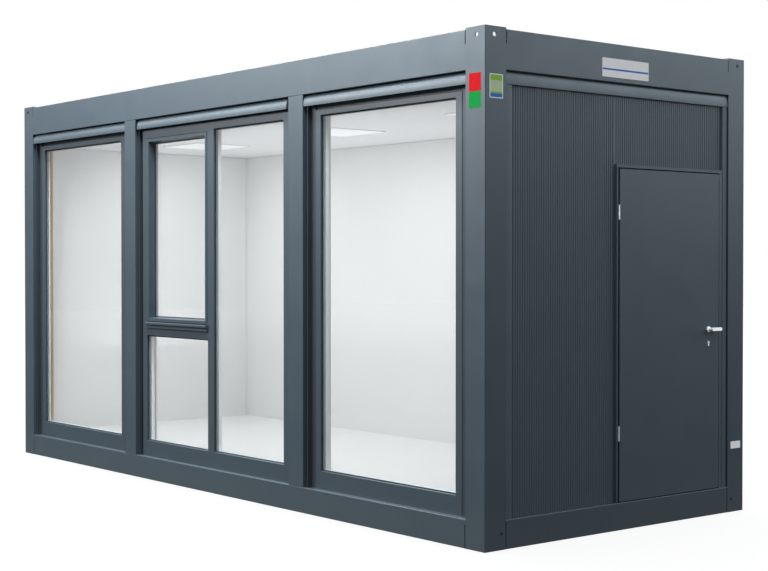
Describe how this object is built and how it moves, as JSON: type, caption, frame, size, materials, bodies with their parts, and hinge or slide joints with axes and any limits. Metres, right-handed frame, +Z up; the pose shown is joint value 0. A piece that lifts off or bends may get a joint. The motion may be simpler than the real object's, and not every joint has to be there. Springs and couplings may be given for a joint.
{
  "type": "portable site cabin",
  "caption": "Flat roofed steel site cabin with tall windows under shutter trims in one long side and a hinged steel door in one end.",
  "frame": {"origin": "on the ground under the middle of the cabin", "axes": "+X along the cabin towards the door end, -Y out of the glazed front, +Z up"},
  "size_m": [6.1, 2.435, 3.1],
  "materials": {
    "frame_paint": "satin",
    "panel_paint": "satin",
    "window_plastic": "satin",
    "rail_aluminium": "powder coated",
    "clear_glass": "clear",
    "white_board": "matte",
    "ceiling_board": "matte",
    "light_panel": "matte",
    "floor_board": "matte",
    "galvanised_steel": "dull",
    "lever_metal": "satin"
  },
  "bodies": {
    "cabin": {"back_wall_panels": "panel_paint", "ceiling": "ceiling_board", "ceiling_lights": "light_panel", "corner_blocks": "frame_paint", "corner_post_back_door": "frame_paint", "corner_post_back_far": "frame_paint", "corner_post_front_door": "frame_paint", "corner_post_front_far": "frame_paint", "door_end_panel_beside": "panel_paint", "door_end_panel_over": "panel_paint", "door_frame": "panel_paint", "door_hinges": "galvanised_steel", "drip_moulding": "window_plastic", "edge_strips": "panel_paint", "far_wall_panels": "panel_paint", "floor_beam_back": "frame_paint", "floor_beam_door_end": "frame_paint", "floor_beam_far_end": "frame_paint", "floor_beam_front": "frame_paint", "floor_deck": "floor_board", "floor_joists": "galvanised_steel", "front_lining": "white_board", "head_trims": "frame_paint", "mullion_left": "frame_paint", "mullion_right": "frame_paint", "roof_beam_back": "frame_paint", "roof_beam_door_end": "frame_paint", "roof_beam_far_end": "frame_paint", "roof_beam_front": "frame_paint", "roof_sheet": "galvanised_steel", "sash": "window_plastic", "sash_glass": "clear_glass", "shutter_boxes": "frame_paint", "shutter_rails": "rail_aluminium", "wall_linings": "white_board", "window_frame_left": "window_plastic", "window_frame_middle": "window_plastic", "window_frame_right": "window_plastic", "window_glass_left": "clear_glass", "window_glass_middle": "clear_glass", "window_glass_right": "clear_glass"},
    "door": {"door_leaf": "panel_paint", "leaf_hinges": "galvanised_steel", "lock_set": "lever_metal"},
    "handle": {"lever_handle": "lever_metal"}
  },
  "joints": [
    {"name": "door_swing", "type": "hinge", "parent": "cabin", "child": "door", "pos_m": [3.0255, -0.052, 1.2435], "axis": [0, 0, -1], "range_deg": [0, 100]},
    {"name": "handle_turn", "type": "hinge", "parent": "door", "child": "handle", "pos_m": [3.0275, 0.8385, 1.26], "axis": [-1, 0, 0], "range_deg": [0, 40], "stiffness_Nm_per_rad": 1.5, "springref_deg": -20.05}
  ]
}
